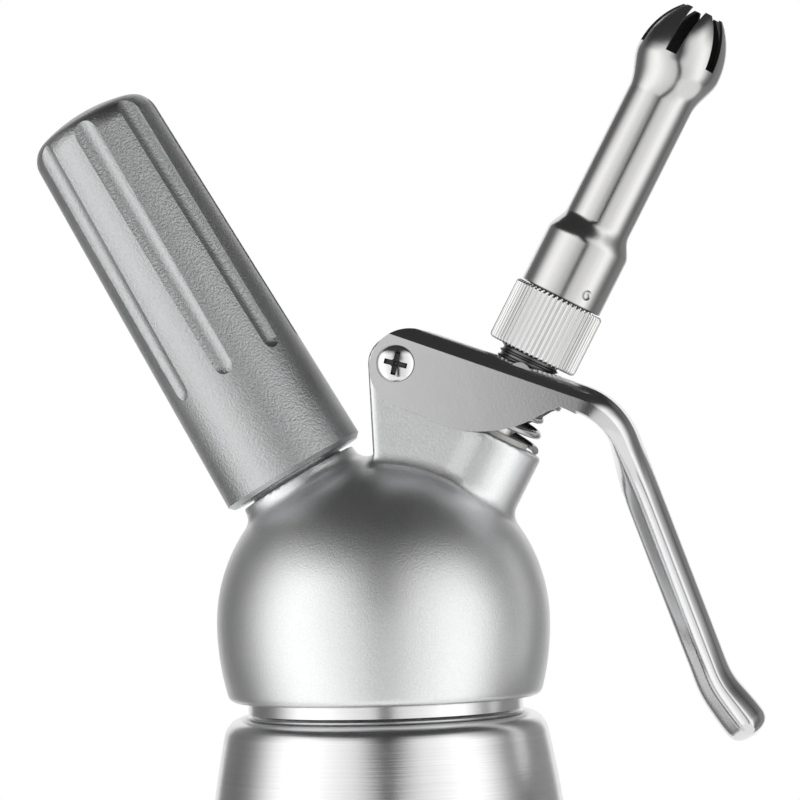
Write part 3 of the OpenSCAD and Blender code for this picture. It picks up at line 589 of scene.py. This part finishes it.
def walk(distance):
    """Centre line of the bar: place ahead and square to the web, and heading below the web."""
    place, heading = Vector((root_s, root_rise)), 0.0
    stretches = ((bend_l, bend_turn), (handle_l, 0), (tip_bend_l, -radians(tip_turn)), (tip_l, 0))
    for length, turn in stretches:
        part = max(0.0, min(distance, length))
        if turn:
            bent = turn * part / length
            radius = length / turn
            place += Vector((radius * (sin(heading + bent) - sin(heading)),
                             radius * (cos(heading + bent) - cos(heading))))
            heading += bent
        else:
            place += part * Vector((cos(heading), -sin(heading)))
        distance -= part
        if distance <= 0:
            break
    return place, heading


def ease(share):
    share = max(0.0, min(1.0, share))
    return share * share * (3 - 2 * share)


def slow(share):
    share = max(0.0, min(1.0, share))
    return share ** 3 * (10 - 15 * share + 6 * share ** 2)


def bar_ring(form, distance):
    """One closed section of the bar."""
    place, heading = walk(max(distance, 0))
    place += Vector((min(distance, 0), 0))
    merge = slow(distance / merge_l)
    thin = 1 - 0.11 * ease((18 - distance) / 10) * merge
    flare = ease((distance - bar_l + 25) / 20)
    wide = 1 + 0.27 * flare
    thick = thin * (1 + 0.18 * ease((distance - bar_l + 18) / 14))
    reach = max(0.0, (distance - bar_l + tip_round) / tip_round)
    close = max(0.02, 1 - reach ** 3) ** 0.4
    half = [((1 - merge) * a[0] + merge * b[0] * wide, ((1 - merge) * a[1] + merge * b[1]) * thick)
            for a, b in zip(at_web, at_middle)]
    loop = half + [(-y, n) for y, n in half[-2:0:-1]]
    points = []
    for y, n in loop:
        out = n * (close if distance > 0 else 1)
        at = place + out * Vector((sin(heading), cos(heading)))
        points.append(form.verts.new((at.x, y * close, at.y)))
    return [form.edges.new(pair) for pair in zip(points, points[1:] + points[:1])]


bar = bmesh.new()
first_ring, ring_gap, least_gap = -4, 1.1, 0.3
stations = [first_ring + ring_gap * i for i in range(int((bar_l - 0.5) / ring_gap) + 1)]
stations += [bar_l - gap for gap in (3.4, 2.6, 1.8, 1.1, 0.6, 0.25, 0.0)
             if bar_l - gap > stations[-1] + least_gap]
rings = [bar_ring(bar, distance) for distance in stations]
for near, far in zip(rings, rings[1:]):
    bmesh.ops.bridge_loops(bar, edges=near + far)
bmesh.ops.holes_fill(bar, edges=[e for e in bar.edges if e.is_boundary], sides=0)
bmesh.ops.recalc_face_normals(bar, faces=bar.faces)
lever_form = carved(lever_form, bar, "UNION")
inner_edge = arc(cheek_in - inner_edge_r, web_low - inner_edge_r, inner_edge_r, 0, 90, 5)
lever_form = carved(lever_form, channel(cheek_in, inner_edge, -20, channel_end))
valve_on_web = web_frame.inverted() @ valve_frame
for side in (-1, 1):
    pad = bmesh.new()
    bmesh.ops.create_cone(pad, cap_ends=True, segments=48, radius1=pad_r, radius2=pad_r, depth=pad_l,
                          matrix=valve_on_web @ Matrix.Translation((0, side * pad_y, pad_s))
                          @ Matrix.Rotation(radians(90), 4, "X"))
    lever_form = carved(lever_form, pad, "UNION")
slot_line = arc(0.6, 0, slot_r, -90, 90, 32) + arc(-1.4, 0, slot_r, 90, 270, 32)
slot_tool = prism(slot_line, pad_s - 4, pad_s + 8)
slot_tool.transform(valve_on_web)
lever_form = carved(lever_form, slot_tool)
recess_r = 3.97
for radius, low, high in ((pivot_bore_r, -20, 20), (recess_r, head_floor, 20), (recess_r, -20, -head_floor)):
    bore = bmesh.new()
    bmesh.ops.create_cone(bore, cap_ends=True, segments=96, radius1=radius, radius2=radius,
                          depth=high - low, matrix=Matrix.Translation((0, -(low + high) / 2, 0))
                          @ Matrix.Rotation(radians(90), 4, "X"))
    lever_form = carved(lever_form, bore)
satin_steel = worked_metal("satin_steel", (0.75, 0.75, 0.755), 0.17, 0.0005, 0.000006,
                           (0.06, 0, 0.17), -19.5 + 180, "along", 0.0005, 0.25, 0.03, 0.03)
piece(lever_form, "lever_cast", web_frame, satin_steel, "lever_steel", "lever", ["lever"], sharp=24)

# ---- Valve --------------------------------------------------------------------------------
# A hollow stem slides through a plastic guide in the neck. Its head is a steel plate under
# the lever with a threaded stud above, and a seal and its nut close the stem's lower end.
plate_top, plate_t, plate_r = 55.057, 1.45, 10.4
stud_r, stud_core_r, stud_top = 6.5, 6.02, 68.657
turned_steel = worked_metal("turned_steel", (0.7, 0.7, 0.69), 0.24, 0.0005, 0.00001,
                            (0.003, 0, 0.1595), valve_tilt, "round", 0.0003, 0.7, 0.03, 0.03)
plate_low = plate_top - plate_t
valve_line = [(2.6, plate_low + 6.5), (4.03, plate_low + 6.5), (4.03, plate_low),
              (plate_r - 0.3, plate_low), (plate_r, plate_low + 0.3),
              (plate_r, plate_top - 0.3), (plate_r - 0.3, plate_top), (stud_r, plate_top),
              (stud_r, plate_top + 1.2), (stud_core_r, plate_top + 1.7), (stud_core_r, stud_top - 0.6),
              (stud_core_r - 0.6, stud_top), (2.6, stud_top)]
valve_form = turned(valve_line, 128, closed=True)
stud_ridge = [(stud_core_r - 0.2, 0), (stud_core_r - 0.2, 0.95), (stud_r, 0.55), (stud_r, 0.4)]
stud_pitch, stud_turns = 1.2, 9.2
stud_thread = thread(stud_ridge, stud_pitch, stud_turns, 48)
bmesh.ops.translate(stud_thread, vec=(0, 0, plate_top + 1.5), verts=stud_thread.verts)
# The valve head's steel is painted near black: painted shade for the gap under the knurl, where the head
# sits in shadow.
shade_darkened_steel = worked_metal("shade_darkened_steel", (0.2, 0.2, 0.2), 0.3, 0.0005, 0.00001,
                             (0.003, 0, 0.1595), valve_tilt, "round", 0.0003, 0.7, 0.1, 0.1)
piece(with_extra(valve_form, stud_thread), "valve_head_turned", valve_frame, shade_darkened_steel,
      "valve_steel", "valve", ["valve_head"])
for name in ("valve_stem", "seal_nut"):
    refinish(name, turned_steel)
black_rubber = rubbery("black_rubber", (0.03, 0.03, 0.03), 0.42)
for name in ("guide_oring", "valve_seal", "adapter_washer", "nozzle_oring", "non_return_sleeve"):
    refinish(name, black_rubber)
refinish("valve_guide", nodes["pivot_washers"].data.materials[0])

# ---- Valve spring -------------------------------------------------------------------------
# A short open coil of drawn wire between the neck's top and the valve's plate.
wire_r, coil_r, coil_turns, coil_draft = 0.8, 9.4, 2.75, 0.3
coil_low, coil_high = neck_top + 0.05 + wire_r, plate_low - 0.05 - wire_r
squeeze_drop = 3.334
spring_form = thread([(coil_r + x, z) for x, z in arc(0, 0, wire_r, 0, 337.5, 15)],
                     (coil_high - coil_low) / coil_turns, coil_turns, 64)
for vert in spring_form.verts:
    across = Vector((vert.co.x, vert.co.y))
    across *= 1 - coil_draft * vert.co.z / across.length
    vert.co.x, vert.co.y = across
bmesh.ops.translate(spring_form, vec=(0, 0, coil_low), verts=spring_form.verts)
drawn_wire = worked_metal("drawn_wire", (0.5, 0.5, 0.5), 0.22, 0.0004, 0.00001, mottle=0.05)
spring = piece(spring_form, "valve_spring_wound", valve_frame, drawn_wire, "spring_steel", "head",
               ["valve_spring"], sharp=60)
coil_l = coil_high - coil_low + 2 * wire_r
(coil_l - squeeze_drop) / coil_l
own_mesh(spring)

# ---- Adapter ------------------------------------------------------------------------------
# A turned and nickelled ring with a straight knurl, which screws on to the stud and carries
# the nozzle on its spigot. A black washer seals it inside.
knurl_r, knurl_low, knurl_top = 9.7, 61.385, 74.685
grooves, groove_depth, groove_half = 54, 0.5, 0.34
adapter_line = [(6.56, knurl_low), (9.1, knurl_low), (knurl_r - 0.15, knurl_low + 0.3),
                (knurl_r, knurl_low + 0.75), (knurl_r, knurl_top - 0.6), (knurl_r - 0.12, knurl_top - 0.3),
                (9.2, knurl_top), (6.5, knurl_top), (6, knurl_top + 0.4), (6, knurl_top + 9.9),
                (5.4, knurl_top + 10.5), (2.6, knurl_top + 10.5), (2.6, stud_top + 1.15),
                (6.56, stud_top + 1.15)]
adapter_form = turned(adapter_line, 6 * grooves, closed=True)
for vert in adapter_form.verts:
    across = Vector((vert.co.x, vert.co.y))
    if across.length > knurl_r - 0.3 and vert.co.z < knurl_top:
        turn = (degrees(atan2(across.y, across.x)) * grooves / 360) % 1
        cut = groove_depth * max(0.0, 1 - abs(turn - 0.5) / groove_half)
        across = across * (1 - cut / across.length)
        vert.co.x, vert.co.y = across
nickel = worked_metal("nickel", (0.86, 0.86, 0.855), 0.14, 0.0006, 0.000004,
                      (0.003, 0, 0.1595), valve_tilt, "round", 0.0005, 0.5, 0.02, 0.02)
piece(adapter_form, "nozzle_adapter_knurled", valve_frame, nickel, "bright_steel", "valve",
      ["nozzle_adapter"], sharp=20)

# ---- Nozzle -------------------------------------------------------------------------------
# A tube of stainless steel, swaged wide at its base and blown into a tulip at its end, which
# six slots cut into teeth. It is brushed, and three pressed dimples hold a black ferrule.
nozzle_low, base_top, tube_top, tulip_s, tip_s = 74.885, 87.985, 120.385, 128.585, 140.185
base_r, tube_r, tulip_r, tip_hole_r, skin = 8.9, 7.05, 9.15, 4.5, 0.85
tulip_h = tip_s - tulip_s
teeth, slot_w, slot_l, tool_l, tool_flare, dimples, dimple_r = 6, 2.4, 10.6, 30, 1.9, 3, 1.3
ogive_r = (tulip_h ** 2 + (tulip_r - tip_hole_r) ** 2) / (2 * (tulip_r - tip_hole_r))


def nozzle_line(inset):
    line = [(base_r - inset, nozzle_low + 0.2), (base_r - inset, base_top - 1.2)]
    line += eased(base_r - inset, tube_r - inset, base_top - 1, 5, 24)
    line += eased(tube_r - inset, tulip_r - inset, tube_top, tulip_s - tube_top, 24)
    heights = [tulip_h * i / 24 for i in range(1, 25)]
    ogive_x = tulip_r - inset - ogive_r
    return line + [(ogive_x + sqrt(ogive_r ** 2 - h * h), tulip_s + h) for h in heights]


nozzle_form = turned([(base_r - 0.2, nozzle_low)] + nozzle_line(0) + nozzle_line(skin)[::-1]
                     + [(base_r - skin + 0.15, nozzle_low)], 144, closed=True)
for i in range(teeth):
    slot_tool = bmesh.new()
    bmesh.ops.create_cube(slot_tool, size=1.0)
    bmesh.ops.scale(slot_tool, vec=(20, slot_w, tool_l), verts=slot_tool.verts)
    wide = [v for v in slot_tool.verts if v.co.z > 0]
    bmesh.ops.scale(slot_tool, vec=(1, tool_flare, 1), verts=wide)
    slot_tool.transform(Matrix.Rotation(radians(360 / teeth * i - 102.5), 4, "Z")
                        @ Matrix.Translation((10, 0, tip_s - slot_l + tool_l / 2)))
    nozzle_form = carved(nozzle_form, slot_tool)
for i in range(dimples):
    dimple = bmesh.new()
    bmesh.ops.create_uvsphere(dimple, u_segments=24, v_segments=16, radius=dimple_r)
    dimple.transform(Matrix.Rotation(radians(360 / dimples * i - 56), 4, "Z")
                     @ Matrix.Translation((base_r + 0.65, 0, nozzle_low + 2.7)))
    nozzle_form = carved(nozzle_form, dimple)
# The tube's inner wall and the slots' side walls take a second, near-black steel: painted shade inside the
# nozzle and its slots.
for face in nozzle_form.faces:
    centre = face.calc_center_median()
    outward = Vector((centre.x, centre.y, 0)).normalized()
    near_teeth = centre.z > tulip_s and abs(face.normal.dot(outward)) < 0.15
    if (face.normal.dot(outward) < -0.15 or near_teeth) and abs(face.normal.z) < 0.8:
        face.material_index = 1
brushed_steel = worked_metal("brushed_steel", (0.7, 0.695, 0.69), 0.2, 0.0004, 0.000014,
                             (0.003, 0, 0.1595), valve_tilt, "along", 0.0006, 0.6, 0.04, 0.05)
nozzle = piece(nozzle_form, "nozzle_drawn", valve_frame, brushed_steel, "nozzle_steel", "nozzle",
               ["nozzle"])
nozzle.data.materials.append(
    worked_metal("nozzle_painted_shade_steel", (0.09, 0.09, 0.09), 0.45, 0.0005, 0.00002))
refinish("nozzle_ferrule", rubbery("black_plastic", (0.05, 0.05, 0.05), 0.4))

# ---- Charger ------------------------------------------------------------------------------
# A drawn steel cartridge of gas sits neck down on a red seal, over the hollow pin that
# pierces its thin metal cap. A rubber sleeve in the pin lets the gas in and not back out.
refinish("gas_charger", worked_metal("charger_steel", (0.62, 0.64, 0.66), 0.2, 0.0005, 0.000008,
                                     (0, 0, 0.1595), -charger_tilt, "round", 0.0004, 0.4, 0.03, 0.02))
refinish("charger_seal", worked_metal("cap_metal", (0.78, 0.62, 0.33), 0.25, 0.0004, 0.00001))
refinish("piercing_pin", bright_steel)
refinish("pin_gasket", rubbery("red_silicone", (0.5, 0.06, 0.045), 0.4))

# ---- Charger holder -----------------------------------------------------------------------
# A thick aluminium casting that screws over the charger. Eight long flutes give it grip. Its
# blasted skin is darker and coarser than the head's.
rim_r, end_r, rim_s, end_s, top_s, edge_r = 15.6, 13.95, 35.6, 116.2, 122.6, 5.0
crown_h = top_s - end_s
edge_x = end_r - edge_r
crown_r = (edge_x ** 2 + crown_h ** 2 - edge_r ** 2) / (2 * (crown_h - edge_r))
edge_end = degrees(atan2(crown_r - crown_h, edge_x))
draft = (rim_r - end_r) / (end_s - rim_s)
holder_line = [(11.06, rim_s + 0.5), (11.5, rim_s), (rim_r - 0.9, rim_s), (rim_r, rim_s + 0.9)]
holder_line += arc(edge_x, end_s, edge_r, 0, edge_end, 14)
holder_line += arc(0, top_s - crown_r, crown_r, edge_end, 90, 8)[1:]
holder_bore = [(11.06, stub_top + 1), (9.6, stub_top + 2.4)] + arc(0, 101.0, 9.6, 0, 90, 12)
holder_form = turned(holder_line + holder_bore[::-1], 160, closed=False)
bmesh.ops.holes_fill(holder_form, edges=[e for e in holder_form.edges if e.is_boundary], sides=0)
flutes, flute_r, flute_start, flute_depth, tool_l = 8, 3.2, 24.2, 0.75, 75
flute_lean = draft + 0.6 / (end_s - rim_s - flute_start)
for i in range(flutes):
    tool = turned(arc(0, 0, flute_r, -90, 0, 12) + [(flute_r, tool_l), (0, tool_l)], 64)
    foot_r = rim_r - draft * flute_start + flute_r - flute_depth
    tool.transform(Matrix.Rotation(radians(360 / flutes * i - 90), 4, "Z")
                   @ Matrix.Translation((foot_r, 0, rim_s + flute_start + 2))
                   @ Matrix.Rotation(-flute_lean, 4, "Y"))
    holder_form = carved(holder_form, tool)
cast_aluminium = worked_metal("cast_aluminium", (0.58, 0.585, 0.59), 0.38, 0.0005, 0.00016,
                              (0, 0, 0.1595), -charger_tilt, "along", 0.001, 0.1, 0.05, 0.16)
piece(holder_form, "charger_holder_cast", charger_frame, cast_aluminium, "holder_aluminium",
      "holder", ["charger_holder"], sharp=22)

# ---- Studio -------------------------------------------------------------------------------
# The dispenser stands on a pale table inside a tent of light. The tent is brightest near 60
# degrees to each side, has a slit for the camera, and is closed above by a dark card.


def staged(form, name, finish, seen=False):
    stand = holding(form, name)
    stand.data.materials.append(finish)
    stand.visible_camera = seen
    stand.visible_glossy = not seen
    stand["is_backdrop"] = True


tent_r, tent_low, tent_high, tent_reach = 1.1, -0.9, 1.25, 152
brightest = 1.4
table_r = 0.5
tent_form = bmesh.new()
bmesh.ops.create_cone(tent_form, cap_ends=False, segments=128, radius1=tent_r, radius2=tent_r,
                      depth=tent_high - tent_low)
bmesh.ops.translate(tent_form, vec=(0, 0, (tent_low + tent_high) / 2), verts=tent_form.verts)
camera_side = radians(-90) + camera_yaw
open_back = [v for v in tent_form.verts
             if cos(atan2(v.co.y, v.co.x) - camera_side) < cos(radians(tent_reach))]
bmesh.ops.delete(tent_form, geom=open_back, context="VERTS")
tent = Finish("tent_cloth")
from_camera = tent.place((0, 0, 0), 0)
apart = tent.node("SeparateXYZ", {}, {0: tent.node(
    "VectorRotate", {"rotation_type": "Z_AXIS"}, {"Vector": from_camera, "Angle": -camera_side})})
side = Signal(tent, apart.socket.node.outputs["Y"])
front = Signal(tent, apart.socket.node.outputs["X"])
height = Signal(tent, apart.socket.node.outputs["Z"])
angle = tent.node("Math", {"operation": "ARCTAN2"}, {0: side, 1: front})
share = angle * (0.5 / pi) + 0.5
# Brightness of the cloth, by degrees round from the camera
cloth = [(-150, 0.22), (-120, 0.14), (-106, 0.22), (-96, 0.55), (-86, 1.0), (-74, 1.3), (-58, 1.4),
         (-43, 1.15), (-28, 0.95), (-13, 0.85), (-6, 0.75), (-4.6, 0.03), (4.6, 0.03), (6, 0.75),
         (13, 0.85), (28, 0.95), (43, 1.15), (58, 1.4), (70, 1.2), (80, 0.75), (90, 0.3),
         (104, 0.15), (118, 0.26), (150, 0.3)]
lit = tent.node("ValToRGB", {"stops": [(0.5 + at / 360, level / brightest) for at, level in cloth]},
                {0: share})
fade = tent.spread(height, 0.85, tent_high, 1.0, 0.1)
off_middle = tent.node("Math", {"operation": "ABSOLUTE"}, {0: angle})
shade = tent.spread(off_middle, radians(22), radians(8)) * tent.spread(height, 0.28, 0.5)
dusk = tent.spread(angle, radians(50), radians(70)) * tent.spread(height, 0.4, 0.7)
shine = tent.node("Emission", {}, {
    "Color": lit, "Strength": fade * brightest * (1 - shade * 0.85) * (1 - dusk * 0.4)})
tent.node("OutputMaterial", {}, {"Surface": shine})
staged(tent_form, "light_tent", tent.owner)

ceiling_form = bmesh.new()
bmesh.ops.create_circle(ceiling_form, cap_ends=True, segments=64, radius=tent_r)
bmesh.ops.translate(ceiling_form, vec=(0, 0, tent_high), verts=ceiling_form.verts)
ceiling = Finish("ceiling_card")
ceiling.node("OutputMaterial", {}, {"Surface": ceiling.node("Emission", {}, {
    "Color": (1, 1, 1), "Strength": 0.04})})
staged(ceiling_form, "ceiling_card", ceiling.owner)

world = bpy.data.worlds.new("studio_air")
scene.world = world
air = Finish("", world)
path = air.node("LightPath", {}, {}).socket.node
seen = [Signal(air, path.outputs[name]) for name in
        ("Is Camera Ray", "Is Glossy Ray", "Is Transmission Ray")]
direct = seen[0] + seen[1] + seen[2]
glow = air.node("Background", {}, {"Color": (1, 1, 1), "Strength": direct * 0.6 + 0.4})
air.node("OutputWorld", {}, {"Surface": glow})

table_form = bmesh.new()
bmesh.ops.create_circle(table_form, cap_ends=True, segments=96, radius=table_r)
table = Finish("table_top")
spot = table.place()
reach = table.node("VectorMath", {"operation": "LENGTH"}, {0: spot}, 1)
fade = table.node("MapRange", {"interpolation_type": "SMOOTHSTEP"}, {
    "Value": reach, "From Min": 0.12, "From Max": 0.45})
grain = table.noise(spot, 900.0, 3.0)
paint = table.node("BsdfDiffuse", {}, {"Color": table.tinted((0.62, 0.62, 0.62), 0.97 + grain * 0.06)})
white = table.node("Emission", {}, {"Color": (1, 1, 1), "Strength": 1.0})
seen = table.node("LightPath", {}, {}, "Is Camera Ray")
table.node("OutputMaterial", {}, {"Surface": table.node("MixShader", {}, {
    0: seen * (0.62 + fade * 0.38), 1: paint, 2: white})})
staged(table_form, "table_top", table.owner, True)

low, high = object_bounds()
